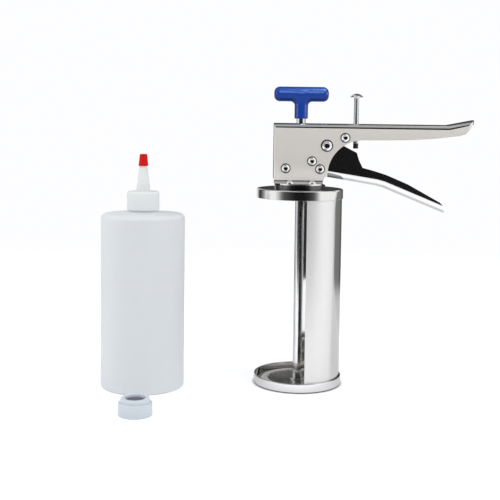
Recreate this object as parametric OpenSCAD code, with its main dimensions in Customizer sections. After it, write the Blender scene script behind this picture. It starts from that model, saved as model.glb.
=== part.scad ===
// Sauce dispenser set: a ratchet gun in stainless steel, its bottle and a spare cap.
// The origin is the centre of the bottom dish on the bench.
// +X points along the handle to its tip, and +Z is up.

/* [Cradle] */
// Outer diameter of the sauce bottle that the cradle takes
bottle_d = 81.2; // [76:0.2:86]
// Radial room between the bottle and the cradle shell
bottle_clear = 0.3; // [0.2:0.1:0.6]
// Thickness of the cradle's polished sheet
sheet = 0.8; // [0.6:0.1:1]
// Height of the cradle, from the bench to the top of its cap
cradle_h = 194.7; // [186:0.1:210]
// Distance from the rod's axis to the plane of the shell's two long edges
shell_edge = 5; // [0:0.5:10]
// Height of the bottom dish over its rolled rim
dish_h = 9.3; // [7:0.1:12]
// Radial gap between the shell and the wall of the dish
dish_gap = 0.8; // [0.4:0.1:1.2]
// Radius of the bead that is rolled along the dish's rim
rim_bead_r = 0.75; // [0.6:0.05:0.75]
// Outer radius of the bend between the dish's floor and its wall
dish_bend_r = 1.6; // [1.2:0.1:2]
// Radial room for the nozzle cap in the neck hole of the dish
neck_hole_clear = 1.9; // [0.5:0.1:3]
// Depth of the skirt of the cradle's cap
cap_skirt = 9.3; // [7:0.1:12]
// Outer radius of the bend along the edge of the cradle's cap
cap_bend_r = 1.4; // [1:0.1:1.8]

/* [Housing and handle] */
// Radius of the round pad between the cap and the housing
pad_r = 25; // [24.5:0.1:28]
// Thickness of the pad
pad_h = 3.9; // [2:0.1:6]
// Chamfer round the top of the pad
pad_chamfer = 0.6; // [0.2:0.1:1]
// Height of the housing above the pad
housing_h = 60.4; // [58:0.1:66]
// Width of the housing and handle over their side plates
housing_w = 23; // [22:0.1:26]
// Thickness of the housing, handle and trigger sheet
plate_t = 1.5; // [1.2:0.1:1.6]
// Outer radius of the long bends between the web and the side plates
web_bend_r = 5; // [3:0.1:6]
// Distance from the rod's axis to the housing's closed end
housing_back = 26.7; // [25.5:0.1:30]
// Radius of the upright corners at the closed end
back_corner_r = 2; // [1.7:0.1:3]
// Distance from the rod's axis to the tip of the handle
handle_reach = 169.3; // [168:0.1:180]
// Distance from the rod's axis to the kink in the handle
kink_x = 144; // [135:0.5:150]
// Upward kink of the handle's tip, in degrees
kink_angle = 11.3; // [5:0.1:14]
// Radius of the tip's corners, seen from above
handle_tip_r = 7; // [4:0.1:9]
// Radius of the hollow that the finger side of the housing is cut to
hollow_r = 34.5; // [33:0.1:36]
// Distance from the trigger's pivot to the middle of the hollow, along the handle
hollow_ahead = 35.4; // [35:0.1:36]
// Height of the hollow's middle above the pad
hollow_rise = 9.9; // [9:0.1:10.4]
// Distance from the tip back to the place where the side plates are lowest
belly_back = 65.3; // [60:0.1:75]
// Depth of the side plates there, from the web's top
belly_depth = 15.3; // [14:0.1:16]
// Distance from the tip back to the middle of their slow taper
taper_back = 42.3; // [35:0.1:50]
// Depth of the side plates in the middle of the taper
taper_depth = 13.9; // [13:0.1:15]
// Distance from the tip back to the end of the taper, where the nose begins
nose_back = 15.3; // [14:0.1:20]
// Depth of the side plates where the nose begins
nose_depth = 10.7; // [9:0.1:12]
// Outer radius of the bend between a side plate and its foot
foot_bend_r = 3; // [2:0.1:3.2]
// Radius to which the two feet are trimmed
foot_r = 24.8; // [23:0.1:25]
// Distance of the foot rivets from the rod's axis along the handle
foot_rivet_x = 10.9; // [8:0.1:12]
// Distance of the foot rivets from the handle's middle plane
foot_rivet_y = 17.8; // [17.5:0.1:18.5]
// Radius of a foot rivet's domed head
foot_head_r = 3.9; // [3:0.1:4]
// Height of a foot rivet's domed head
foot_head_h = 3.3; // [1.5:0.1:4]
// Radius of a foot rivet's shank
foot_shank_r = 2; // [1.5:0.1:2.4]
// Thickness of the closed end of a foot rivet
foot_tail_h = 1; // [0.5:0.1:1.5]

/* [Pins] */
// Shank radius of the four small pins
pin_r = 2.5; // [2:0.1:2.8]
// Head radius of the four small pins
pin_head_r = 4.8; // [3.5:0.1:5]
// Shank radius of the trigger's pivot pin
pivot_r = 3.2; // [2.8:0.1:3.6]
// Head radius of the trigger's pivot pin
pivot_head_r = 6; // [4.5:0.1:6.4]
// Height of the domed pin heads
pin_head_h = 1.9; // [1:0.1:3]
// Depth of the dimple in a pin head
dimple_depth = 1.4; // [0.5:0.1:1.8]

/* [Trigger] */
// Width of the trigger over its two walls
trigger_w = 18; // [17:0.1:19]
// Outer radius of the trigger's bends
trigger_bend_r = 6.4; // [3:0.1:6.5]
// Downward slope of the trigger's first leg, in degrees
first_drop = 9.2; // [8:0.1:10]
// Downward slope of the trigger's second leg, in degrees
second_drop = 21.9; // [20:0.1:25]
// Distance from the pivot forward to the corner in which the two legs would meet
corner_ahead = 52.7; // [51:0.1:54]
// Depth of that corner below the pivot
corner_drop = 39.3; // [38:0.1:40]
// Radius of the curve between the two legs
leg_curve_r = 60; // [30:1:70]
// Length of the second leg
second_leg = 67.8; // [64:0.1:72]
// Radius of the trigger tip's corners, seen from above
trigger_tip_r = 8; // [4:0.1:8.5]
// Distance between the trigger's pivot and the drive pawl's pin
pawl_arm = 14; // [13.5:0.1:14.5]

/* [Ratchet] */
// Radius of a pawl's hub
pawl_hub_r = 4.4; // [3.8:0.1:4.6]
// Thickness of a pawl
pawl_t = 6; // [4:0.1:6.4]
// Gap between a pawl's nose and the rod
pawl_gap = 0.4; // [0.3:0.1:0.8]
// Radius of the drive pawl's pin
pawl_pin_r = 2; // [1.5:0.1:2.4]
// Pitch of the rod's teeth, one full squeeze of the trigger
tooth_pitch = 4.2; // [3.5:0.1:5]
// Depth of the rod's teeth
tooth_depth = 1.4; // [0.8:0.1:1.8]
// Number of the rod's teeth
tooth_count = 50; // [40:1:52]
// Height of the lowest tooth above the bench
tooth_start = 30; // [25:1:40]

/* [Plunger and rod] */
// Diameter of the push rod
rod_d = 9; // [8:0.1:9.4]
// Height of the push plate over its turned-down edge
push_plate_h = 3.4; // [3:0.1:5]
// Depth of the push plate's round middle
push_plate_step = 0.8; // [0.4:0.1:0.8]
// Radius of the push plate's round middle
push_plate_inner_r = 29; // [20:0.5:31]
// Thickness of the push plate
disc_t = 1; // [0.8:0.1:1.1]
// Radius of the rod's threaded foot
rod_foot_r = 2.5; // [2:0.1:3]
// Thickness of the washer under the rod's shoulder
washer_t = 1; // [0.5:0.1:2]
// Thickness of the thin nut below the push plate
rod_nut_h = 1.5; // [1.2:0.1:1.5]
// Width across the flats of the thin nut
rod_nut_flats = 8; // [7.5:0.1:10]

/* [T-handle] */
// Diameter of the T-handle's bar
bar_d = 14.5; // [12:0.1:16]
// Length of the T-handle's bar
bar_len = 53.6; // [40:0.1:60]
// Radius of the bar's rounded ends
bar_end_r = 5.5; // [3:0.1:5.8]
// Diameter of the T-handle's stem
stem_d = 13.2; // [11:0.1:13.8]
// Length of the stem up to the underside of the bar
stem_len = 16.8; // [15:0.1:25]
// Radius of the fillet between the stem and the bar
stem_fillet = 4.5; // [2:0.1:6]
// Gap between the stem and the handle's web with the plunger down
stem_gap = 4.4; // [2:0.1:10]
// Depth of the rod's socket in the stem
socket_depth = 15; // [10:0.5:18]

/* [Adjusting screw] */
// Distance from the rod's axis to the adjusting screw
screw_x = 54.3; // [53:0.1:56]
// Diameter of the screw
screw_d = 5.2; // [4:0.1:5.6]
// Height of the underside of the screw's head above the web
screw_rise = 26.2; // [26:0.1:30]
// Distance from the web's top down to the end of the screw's tip
screw_drop = 24.3; // [18:0.1:25]
// Diameter of the screw's mushroom head
screw_head_d = 13.4; // [10:0.1:15]
// Height of the screw's head
screw_head_h = 3.4; // [2:0.1:4]
// Length of the dark tip below the screw
screw_tip_h = 5; // [3:0.1:7]
// Width across the flats of the nut under the web
screw_nut_flats = 8; // [7.5:0.1:10]
// Height of the nut under the web
screw_nut_h = 4; // [3:0.1:5]

/* [Bottle] */
// Distance from the rod's axis to the axis of the standing bottle
bottle_x = 153.2; // [150:0.1:170]
// Distance of the standing bottle in front of the handle's plane
bottle_y = 17; // [0:0.5:20]
// Height of the bottle's body up to the foot of its neck
bottle_h = 170.9; // [155:0.1:180]
// Wall of the bottle
bottle_wall = 1.1; // [0.8:0.1:1.4]
// Outer radius of the bottle's lower edge, which turns in to a lip
lip_bend_r = 2.5; // [2:0.1:4]
// Width of the flat lip inside that edge
lip_flat = 1.7; // [0.5:0.1:2]
// Outer radius of the bottle's shoulder
shoulder_r = 3.6; // [3:0.1:8]
// Rise of the bottle's top from the shoulder to the neck
shoulder_rise = 1.8; // [0.5:0.1:4]
// Outer radius of the neck below the nozzle cap
neck_r = 14; // [13.5:0.1:14.5]
// Height of the neck's collar below the nozzle cap
collar_h = 1.9; // [1.6:0.1:8]
// Radius of the neck inside the nozzle cap
finish_r = 12.7; // [12:0.1:13]
// Length of the neck inside the nozzle cap
finish_h = 14.8; // [10:0.1:15]
// Height of the follower inside the bottle
follower_h = 12; // [8:0.5:16]
// Wall of the follower
follower_wall = 1.5; // [1:0.1:2]

/* [Nozzle] */
// Outer radius of the nozzle cap
nozzle_r = 15.6; // [15:0.1:17]
// Height of the nozzle cap's skirt and roof
nozzle_h = 17.9; // [17.4:0.1:19]
// Thickness of the nozzle cap's roof
nozzle_roof = 1.6; // [1.2:0.1:1.8]
// Radius of the nozzle cap's upper edge
nozzle_edge_r = 1.4; // [0.8:0.1:1.6]
// Height of the spout's straight foot
spout_foot_h = 3; // [1:0.1:5]
// Radius of the spout's foot
spout_foot_r = 6.7; // [6:0.1:8]
// Length of the whole spout
spout_len = 35.2; // [30:0.1:40]
// Radius of the spout's end
spout_end_r = 2.4; // [2:0.1:2.6]
// Radius of the opening in the spout's end
spout_bore_r = 1.2; // [0.8:0.1:1.5]
// Wall at the foot of the spout
spout_wall = 1.3; // [1:0.1:1.8]
// Length of the red tip cap
tip_len = 11.4; // [8:0.1:13]
// Radius of the tip cap's rim
tip_rim_r = 4.8; // [4.6:0.1:5]
// Radius of the tip cap's top
tip_top_r = 3.5; // [3:0.1:3.9]
// Height of the tip cap's straight rim
tip_rim_h = 0.9; // [0.5:0.1:1.5]

/* [Spare cap] */
// Distance from the rod's axis to the spare cap, against the handle's direction
spare_x = 148.5; // [140:0.5:160]
// Distance of the spare cap in front of the handle's plane
spare_y = 112; // [95:0.5:120]
// Outer radius of the spare cap
spare_r = 15.2; // [14.8:0.1:17]
// Height of the spare cap's skirt
spare_skirt = 11.6; // [10:0.1:14]
// Outer radius of the spare cap's raised ring
spare_ring_r = 13; // [12.5:0.1:13.5]
// Height of the spare cap's raised ring
spare_ring_h = 3.9; // [3:0.1:5]
// Wall of the spare cap
spare_wall = 1.7; // [1.5:0.1:2]
// Radius of the opening in the spare cap
spare_hole_r = 9.3; // [8:0.1:10]
// Thickness of the valve disc in the spare cap
valve_t = 1.2; // [0.8:0.1:1.5]
// Height of the ring that holds the valve disc
valve_ring_h = 2; // [1:0.1:3]

/* [Fits] */
// Radial running clearance of a shaft in its bore
run_clear = 0.1; // [0.06:0.01:0.1]
// Radial clearance of a pivot pin in its bore
pin_clear = 0.05; // [0.03:0.01:0.1]
// Gap between a part at rest and the seat that stops it
seat_gap = 0.3; // [0.2:0.05:0.4]
// Side clearance of parts between two plates
side_clear = 0.3; // [0.2:0.05:0.5]

/* [Hidden] */
$fn = 96;

// Cradle
bottle_r = bottle_d / 2;
shell_in_r = bottle_r + bottle_clear;
shell_r = shell_in_r + sheet;
dish_r = shell_r + dish_gap + sheet;
cap_in_r = shell_r + run_clear;
cap_r = cap_in_r + sheet;
neck_hole_r = nozzle_r + neck_hole_clear;

// Heights of the housing
foot_z = cradle_h + pad_h;
housing_top = foot_z + housing_h;
web_under = housing_top - plate_t;
plate_low = foot_z + plate_t + foot_bend_r;
in_w = housing_w - 2 * plate_t;
handle_tip_z = housing_top + (handle_reach - kink_x) * tan(kink_angle);

// Pins, as distances from the rod's axis and above the pad
guide_at = [-14.9, foot_z + 16.2];
holding_at = [10.8, foot_z + 23.5];
rest_at = [18.7, foot_z + 15.8];
pivot_at = [25.1, foot_z + 38.8];
squeeze_at = [42.9, foot_z + 46.7];
drive_at = [pivot_at[0] - pawl_arm, pivot_at[1]];
sleeve_r = pin_r + 1.1;

// Hollow of the housing, and the underside of the handle beyond it
hollow_at = [pivot_at[0] + hollow_ahead, foot_z + hollow_rise];

// Rod, push plate and T-handle
rod_r = rod_d / 2;
plate_rest_z = sheet + seat_gap;
plate_top_z = plate_rest_z + push_plate_h;
middle_z = plate_top_z - push_plate_step;
rod_shoulder_z = middle_z + washer_t + run_clear;
mouth_r = bottle_r - lip_bend_r - lip_flat;
push_plate_r = mouth_r - seat_gap;
stem_z = housing_top + stem_gap;
bar_z = stem_z + stem_len + bar_d / 2;
rod_top = stem_z + socket_depth;
bush_r = rod_r + 2.5;
bush_flange_r = in_w / 2 - 0.5;

// Trigger
trigger_in_w = trigger_w - 2 * plate_t;
bush_out_r = pivot_r + pin_clear + 1.4;
heel_x = rest_at[0] + sleeve_r + seat_gap;
curve_at = [pivot_at[0] + corner_ahead, pivot_at[1] - corner_drop];
wall_reach = 46;

// Adjusting screw
screw_r = screw_d / 2;
screw_end = housing_top - screw_drop;

// Bottle and nozzle
inner_r = bottle_r - bottle_wall;
shoulder_z = bottle_h - shoulder_rise;
collar_z = bottle_h + collar_h;
finish_z = collar_z + finish_h;
cap_z = collar_z + seat_gap;
roof_z = cap_z + nozzle_h - nozzle_roof;
spout_z = cap_z + nozzle_h;
spout_top = spout_z + spout_len;
follower_z = lip_bend_r + seat_gap;
tip_z = spout_top + 1 - tip_len;

// A quarter of a ring in the first quadrant, r over its outside and t thick
module quarter_ring(r, t) {
    intersection() {
        difference() {
            circle(r);
            circle(r - t);
        }
        square(r);
    }
}

// A spherical dome, r over its foot and h high
module dome(r, h) {
    ball = (r * r + h * h) / (2 * h);
    rotate_extrude()
        intersection() {
            translate([0, h - ball]) circle(ball);
            square([r, h]);
        }
}

// A round bar across the handle, centred on its middle plane
module cross_bar(at, r, len) {
    translate([at[0], 0, at[1]]) rotate([90, 0, 0]) cylinder(r = r, h = len, center = true);
}

// A side outline drawn in X and Z, made w thick across the handle
module across(w) {
    rotate([90, 0, 0]) linear_extrude(w, center = true) children();
}

// A sleeve across the handle
module cross_sleeve(at, r_out, r_in, len) {
    difference() {
        cross_bar(at, r_out, len);
        cross_bar(at, r_in, len + 1);
    }
}

// A channel's outside seen along its length, web up, with its top on the X axis
module channel_outline(w, h, r) {
    translate([-w / 2, -h]) square([w, h - r]);
    translate([-w / 2 + r, -r]) square([w - 2 * r, r]);
    for (s = [-1, 1])
        translate([s * (w / 2 - r), -r]) circle(r);
}

// A strip w wide from x0 to x1, with corners of radius r0 at x0 and r1 at x1
module round_strip(x0, x1, w, r0, r1) {
    translate([x0 + r0, -w / 2]) square([x1 - r1 - x0 - r0, w]);
    translate([x0, -w / 2 + r0]) square([r0, w - 2 * r0]);
    translate([x1 - r1, -w / 2 + r1]) square([r1, w - 2 * r1]);
    for (s = [-1, 1]) {
        translate([x0 + r0, s * (w / 2 - r0)]) circle(r0);
        translate([x1 - r1, s * (w / 2 - r1)]) circle(r1);
    }
}

// A hexagonal nut standing on z = 0
module nut(flats, h, bore_r) {
    difference() {
        cylinder(d = flats / cos(30), h = h, $fn = 6);
        translate([0, 0, -1]) cylinder(r = bore_r, h = h + 2);
    }
}

// The dish that carries the shell, with the neck hole in its floor
module bottom_dish() color("silver")
    rotate_extrude() {
        wall_x = dish_r - sheet;
        bend_x = dish_r - dish_bend_r;
        translate([neck_hole_r, 0]) square([bend_x - neck_hole_r, sheet]);
        translate([bend_x, dish_bend_r]) rotate(-90) quarter_ring(dish_bend_r, sheet);
        translate([wall_x, dish_bend_r]) square([sheet, dish_h - rim_bead_r - dish_bend_r]);
        translate([dish_r - rim_bead_r, dish_h - rim_bead_r]) circle(rim_bead_r);
    }

// Half a tube, open to the side away from the handle
module cradle_shell() color("silver")
    difference() {
        translate([0, 0, sheet]) cylinder(r = shell_r, h = cradle_h - cap_bend_r - sheet);
        cylinder(r = shell_in_r, h = cradle_h);
        translate([-2 * shell_r + shell_edge, -shell_r - 1, 0])
            cube([2 * shell_r, 2 * shell_r + 2, cradle_h]);
    }

// The cap over the shell, with holes for the rod's bush and the foot rivets
module top_cap() color("silver")
    difference() {
        rotate_extrude() {
            bend_x = cap_r - cap_bend_r;
            translate([bush_r, cradle_h - sheet]) square([bend_x - bush_r, sheet]);
            translate([bend_x, cradle_h - cap_bend_r]) quarter_ring(cap_bend_r, sheet);
            translate([cap_in_r, cradle_h - cap_skirt]) square([sheet, cap_skirt - cap_bend_r]);
        }
        foot_rivet_shanks(pin_clear);
    }

// The four shanks of the foot rivets, with room round them
module foot_rivet_shanks(room) {
    for (sx = [-1, 1], sy = [-1, 1])
        translate([sx * foot_rivet_x, sy * foot_rivet_y, cradle_h - sheet])
            cylinder(r = foot_shank_r + room, h = sheet + pad_h + plate_t);
}

// The round pad that spreads the housing's load over the cap
module foot_pad() color("silver")
    difference() {
        rotate_extrude()
            polygon([[bush_r, cradle_h], [pad_r, cradle_h], [pad_r, foot_z - pad_chamfer],
                [pad_r - pad_chamfer, foot_z], [bush_r, foot_z]]);
        foot_rivet_shanks(pin_clear);
    }

module foot_rivets() color("gainsboro") {
    foot_rivet_shanks(0);
    for (sx = [-1, 1], sy = [-1, 1])
        translate([sx * foot_rivet_x, sy * foot_rivet_y, 0]) {
            translate([0, 0, foot_z + plate_t]) dome(foot_head_r, foot_head_h);
            translate([0, 0, cradle_h - sheet - foot_tail_h])
                cylinder(r = foot_shank_r + 1, h = foot_tail_h);
        }
}

// The whole side of the housing and handle, with room above its top edge
module handle_side() {
    over = housing_top + 12;
    difference() {
        polygon([[-housing_back + 1.1, plate_low], [hollow_at[0] - hollow_r - 3.8, plate_low],
            [hollow_at[0] - hollow_r - 3.6, hollow_at[1] - 3.7],
            [hollow_at[0] - hollow_r - 1.4, hollow_at[1] - 1.2], hollow_at,
            [hollow_at[0], hollow_at[1] + hollow_r],
            [handle_reach - belly_back, housing_top - belly_depth],
            [handle_reach - taper_back, housing_top - taper_depth],
            [handle_reach - nose_back, housing_top - nose_depth],
            [handle_reach - 0.6 * nose_back, housing_top - nose_depth + 1.7],
            [handle_reach - 2.6, housing_top - 1.2], [handle_reach - 0.6, handle_tip_z - 3.6],
            [handle_reach + 1, handle_tip_z - 1.6], [handle_reach + 1, over],
            [-housing_back - 1, over], [-housing_back - 1, plate_low + 3]]);
        translate(hollow_at) circle(hollow_r);
    }
}

// The channel as a solid bar, drawn in by inset on every side. The straight run and the
// kinked tip cross at the kink, and each lies inside the other just beyond it.
module handle_bar(inset) {
    w = housing_w - 2 * inset;
    h = 2 * housing_h;
    bend = web_bend_r - inset;
    lap = handle_tip_r;
    intersection() {
        translate([-housing_back - 1, 0, housing_top - inset]) rotate([90, 0, 90])
            linear_extrude(housing_back + 1 + kink_x + lap) channel_outline(w, h, bend);
        linear_extrude(2 * housing_top)
            round_strip(-housing_back + inset, handle_reach, w, max(back_corner_r - inset, 0.3), 1);
    }
    intersection() {
        translate([kink_x, 0, housing_top]) rotate([0, -kink_angle, 0])
            translate([-lap, 0, -inset]) rotate([90, 0, 90])
                linear_extrude(handle_reach) channel_outline(w, h, bend);
        linear_extrude(2 * housing_top)
            round_strip(0, handle_reach - inset, w, 1, handle_tip_r - inset);
    }
}

// The two feet, bent outwards below the side plates
module feet() {
    bend_y = housing_w / 2 + foot_bend_r;
    intersection() {
        translate([-housing_back + 1.1, 0, 0]) rotate([90, 0, 90])
            linear_extrude(housing_back + hollow_at[0] - hollow_r - 5.4)
                for (s = [-1, 1]) {
                    translate([s * bend_y, plate_low]) rotate(225 - s * 45)
                        quarter_ring(foot_bend_r + plate_t, plate_t);
                    translate([s > 0 ? bend_y : -bend_y - pad_r, foot_z]) square([pad_r, plate_t]);
                }
        linear_extrude(housing_top) {
            circle(foot_r);
            translate([-2 * foot_r, -bend_y]) square([4 * foot_r, 2 * bend_y]);
        }
    }
}

// One folded sheet: web, closed end, two side plates and two feet
module housing() color("gainsboro")
    difference() {
        union() {
            difference() {
                intersection() {
                    handle_bar(0);
                    across(2 * housing_w) handle_side();
                }
                handle_bar(plate_t);
            }
            feet();
        }
        foot_rivet_shanks(pin_clear);
        for (at = [guide_at, holding_at, rest_at, squeeze_at])
            cross_bar(at, pin_r + pin_clear, 2 * housing_w);
        cross_bar(pivot_at, pivot_r + pin_clear, 2 * housing_w);
        translate([0, 0, web_under - 1]) cylinder(r = rod_r + run_clear, h = plate_t + 2);
        translate([screw_x, 0, web_under - 1]) cylinder(r = screw_r + seat_gap, h = plate_t + 2);
    }

// A pin through both side plates, with a dimpled dome at each end
module housing_pin(at, r, head_r) color("white") {
    cross_bar(at, r, housing_w);
    for (s = [-1, 1])
        translate([at[0], s * housing_w / 2, at[1]]) rotate([-s * 90, 0, 0])
            difference() {
                dome(head_r, pin_head_h);
                translate([0, 0, pin_head_h - dimple_depth])
                    cylinder(r1 = head_r * 0.18, r2 = head_r * 0.3, h = dimple_depth);
            }
}

module guide_pin() housing_pin(guide_at, pin_r, pin_head_r);
module holding_pawl_pin() housing_pin(holding_at, pin_r, pin_head_r);
module rest_stop_pin() housing_pin(rest_at, pin_r, pin_head_r);
module trigger_pin() housing_pin(pivot_at, pivot_r, pivot_head_r);
module squeeze_stop_pin() housing_pin(squeeze_at, pin_r, pin_head_r);

// Sleeve on which the trigger's heel rests
module rest_stop_sleeve() color("dimgray")
    cross_sleeve(rest_at, sleeve_r, pin_r + pin_clear, in_w - 2 * pin_clear);

// Flanged bush that guides the rod through the cap and the pad
module rod_bush() color("whitesmoke")
    difference() {
        union() {
            translate([0, 0, cradle_h - sheet]) cylinder(r = bush_r, h = sheet + pad_h);
            translate([0, 0, foot_z]) cylinder(r = bush_flange_r, h = 1.2);
        }
        translate([0, 0, cradle_h - 2]) cylinder(r = rod_r + run_clear, h = pad_h + 5);
    }

// Block that backs the rod against the push of the pawls
module rod_guide() color("whitesmoke")
    difference() {
        translate([guide_at[0] - 8, -in_w / 2 + 2, guide_at[1] - 8]) cube([21.9, in_w - 4, 16]);
        cylinder(r = rod_r + run_clear, h = housing_top);
        cross_bar(guide_at, pin_r + pin_clear, housing_w);
    }

// Nut fixed below the web for the adjusting screw
module screw_nut() color("silver")
    translate([screw_x, 0, web_under - screw_nut_h])
        nut(screw_nut_flats, screw_nut_h, screw_r + run_clear);

// Coil of the trigger's return spring, with the leg that bears below the stop pin
module trigger_spring() color("dimgray") {
    coil_r = bush_out_r + seat_gap;
    wire_r = 0.6;
    leg_y = 4.6;
    cross_sleeve(pivot_at, coil_r + 2 * wire_r, coil_r, 2 * (leg_y + 2 * wire_r));
    from = [pivot_at[0], pivot_at[1] + coil_r + wire_r];
    to = [squeeze_at[0], squeeze_at[1] - pin_r - wire_r - pin_clear];
    run = to - from;
    translate([from[0], leg_y, from[1]]) rotate([0, 90 - atan2(run[1], run[0]), 0])
        cylinder(r = wire_r, h = norm(run));
}

// A pawl: hub on its pin, and a nose that points down to the rod
module pawl(at, pin_radius) {
    tip = rod_r + pawl_gap;
    difference() {
        union() {
            cross_bar(at, pawl_hub_r, pawl_t);
            across(pawl_t)
                polygon([[at[0] - pawl_hub_r * 0.97, at[1] + 0.8], [tip, at[1] - 4.9],
                    [tip + 0.7, at[1] - 6], [at[0] + 0.5, at[1] - pawl_hub_r + 0.1], at]);
        }
        cross_bar(at, pin_radius + pin_clear, pawl_t + 1);
    }
}

module holding_pawl() color("gray") pawl(holding_at, pin_r);
module drive_pawl() color("gray") pawl(drive_at, pawl_pin_r);

// Coil of a pawl's spring, beside the pawl on its pin
module pawl_spring(at, pin_radius) {
    inside = pawl_t / 2 + side_clear;
    outside = trigger_in_w / 2 - side_clear;
    translate([0, (inside + outside) / 2, 0])
        cross_sleeve(at, pin_radius + 1.4, pin_radius + pin_clear, outside - inside);
}

module holding_pawl_spring() color("dimgray") pawl_spring(holding_at, pin_r);
module drive_pawl_spring() color("dimgray") pawl_spring(drive_at, pawl_pin_r);

// The trigger's channel as a solid bar, drawn in by inset on every side. Its web turns from
// the first leg's slope to the second's in equal steps, which touch the curve between them.
module trigger_bar(inset) {
    w = trigger_w - 2 * inset;
    turn = second_drop - first_drop;
    first_dir = [cos(first_drop), -sin(first_drop)];
    centre = curve_at - leg_curve_r * tan(turn / 2) * first_dir
        - leg_curve_r * [sin(first_drop), cos(first_drop)];
    translate([centre[0], 0, centre[1]]) intersection() {
        for (a = [0, 0.5, 1])
            rotate([0, first_drop + a * turn, 0]) translate([0, 0, leg_curve_r + inset])
                rotate([90, 0, 90]) linear_extrude(4 * wall_reach, center = true)
                    rotate(180) channel_outline(w, 2 * wall_reach, trigger_bend_r - inset);
        rotate([0, second_drop, 0])
            linear_extrude(4 * leg_curve_r, center = true)
                round_strip(-3 * wall_reach, leg_curve_r * tan(turn / 2) + second_leg - inset,
                    w, 1, trigger_tip_r - inset);
    }
}

// The trigger's side: hub, pawl arm, shoulder and the tapered finger piece
module trigger_side() {
    hub_r = pivot_r + 4.7;
    arm_r = pawl_pin_r + 2.6;
    translate(pivot_at) {
        circle(hub_r);
        translate([-pawl_arm, 0]) circle(arm_r);
        polygon([[heel_x - pivot_at[0], -50], [50, -90], [120, -90], [116.8, -64],
            [114.7, -57.3], [112, -54.5], [94.1, -44.6], [79.9, -36.8], [60.4, -28.6],
            [48, -24.8], [35.6, -21.6], [31.6, -13.2], [29.6, -6.7], [18.1, -0.8],
            [3.6, hub_r - 0.8], [-1, hub_r - 0.1], [-pawl_arm, arm_r], [-pawl_arm, -arm_r],
            [-6.5, -6.5], [heel_x - pivot_at[0], -17.5]]);
    }
}

module trigger() color([0.75, 0.75, 0.77])
    difference() {
        intersection() {
            difference() {
                trigger_bar(0);
                trigger_bar(plate_t);
            }
            across(2 * trigger_w) trigger_side();
        }
        cross_bar(pivot_at, pivot_r + pin_clear, housing_w);
        cross_bar(drive_at, pawl_pin_r + pin_clear, housing_w);
    }

// Sleeve that keeps the trigger's walls apart on the pivot pin
module trigger_bush() color("dimgray")
    cross_sleeve(pivot_at, bush_out_r, pivot_r + pin_clear, trigger_in_w - 2 * pin_clear);

// Pin of the drive pawl, with flat heads outside the trigger's walls
module drive_pawl_pin() color("white") {
    head_h = (in_w - trigger_w) / 2 - side_clear;
    cross_bar(drive_at, pawl_pin_r, trigger_w);
    for (s = [-1, 1])
        translate([0, s * (trigger_w + head_h) / 2, 0])
            cross_bar(drive_at, pawl_pin_r + 1.2, head_h);
}

// Pressed plate at the foot of the rod
module push_plate() color("silver")
    rotate_extrude() {
        bend_r = 1.5;
        hole_r = rod_foot_r + run_clear;
        step_x = push_plate_inner_r;
        translate([hole_r, middle_z - disc_t]) square([step_x - hole_r, disc_t]);
        translate([step_x, middle_z - disc_t]) square([disc_t, plate_top_z - middle_z + disc_t]);
        translate([step_x, plate_top_z - disc_t])
            square([push_plate_r - bend_r - step_x, disc_t]);
        translate([push_plate_r - bend_r, plate_top_z - bend_r]) quarter_ring(bend_r, disc_t);
        translate([push_plate_r - disc_t, plate_rest_z])
            square([disc_t, push_plate_h - bend_r]);
    }

module plate_washer() color("gainsboro")
    difference() {
        translate([0, 0, middle_z]) cylinder(r = rod_r + 2.5, h = washer_t);
        cylinder(r = rod_foot_r + run_clear, h = 2 * rod_shoulder_z);
    }

// Round rod with ratchet teeth that face backwards while it is released
module push_rod() color("silver") {
    slope = 0.9 * tooth_pitch;
    crest = rod_r + 0.2;
    difference() {
        translate([0, 0, rod_shoulder_z]) cylinder(r = rod_r, h = rod_top - rod_shoulder_z);
        rotate([90, 0, 90]) linear_extrude(rod_d + 1, center = true)
            for (i = [0:tooth_count - 1])
                translate([0, tooth_start + i * tooth_pitch])
                    polygon([[rod_r - tooth_depth, 0], [crest, 0], [crest, slope]]);
    }
    translate([0, 0, middle_z - disc_t - run_clear - rod_nut_h])
        cylinder(r = rod_foot_r, h = rod_nut_h + disc_t + washer_t + 3 * run_clear);
}

module rod_nut() color("silver")
    translate([0, 0, middle_z - disc_t - run_clear - rod_nut_h])
        nut(rod_nut_flats, rod_nut_h, rod_foot_r);

// Moulded T-handle with the rod's blind socket in its stem
module t_handle() color([0.14, 0.31, 0.69])
    difference() {
        union() {
            translate([-bar_len / 2, 0, bar_z]) rotate([0, 90, 0]) rotate_extrude() {
                translate([0, bar_end_r]) square([bar_d / 2, bar_len - 2 * bar_end_r]);
                square([bar_d / 2 - bar_end_r, bar_len]);
                for (y = [bar_end_r, bar_len - bar_end_r])
                    translate([bar_d / 2 - bar_end_r, y])
                        intersection() {
                            circle(bar_end_r);
                            translate([-bar_d / 2 + bar_end_r, -bar_end_r])
                                square([bar_d / 2, 2 * bar_end_r]);
                        }
            }
            translate([0, 0, stem_z]) cylinder(d = stem_d, h = stem_len + bar_d / 2);
            intersection() {
                translate([0, 0, stem_z + stem_len - stem_fillet]) rotate_extrude()
                    difference() {
                        square([stem_d / 2 + stem_fillet, stem_fillet + bar_d / 4]);
                        translate([stem_d / 2 + stem_fillet, 0]) circle(stem_fillet);
                    }
                translate([-bar_len / 2, 0, stem_z + stem_len]) rotate([0, 90, 0])
                    cylinder(d = stem_d, h = bar_len);
            }
        }
        translate([0, 0, stem_z - 1]) cylinder(r = rod_r, h = socket_depth + 1);
    }

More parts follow.
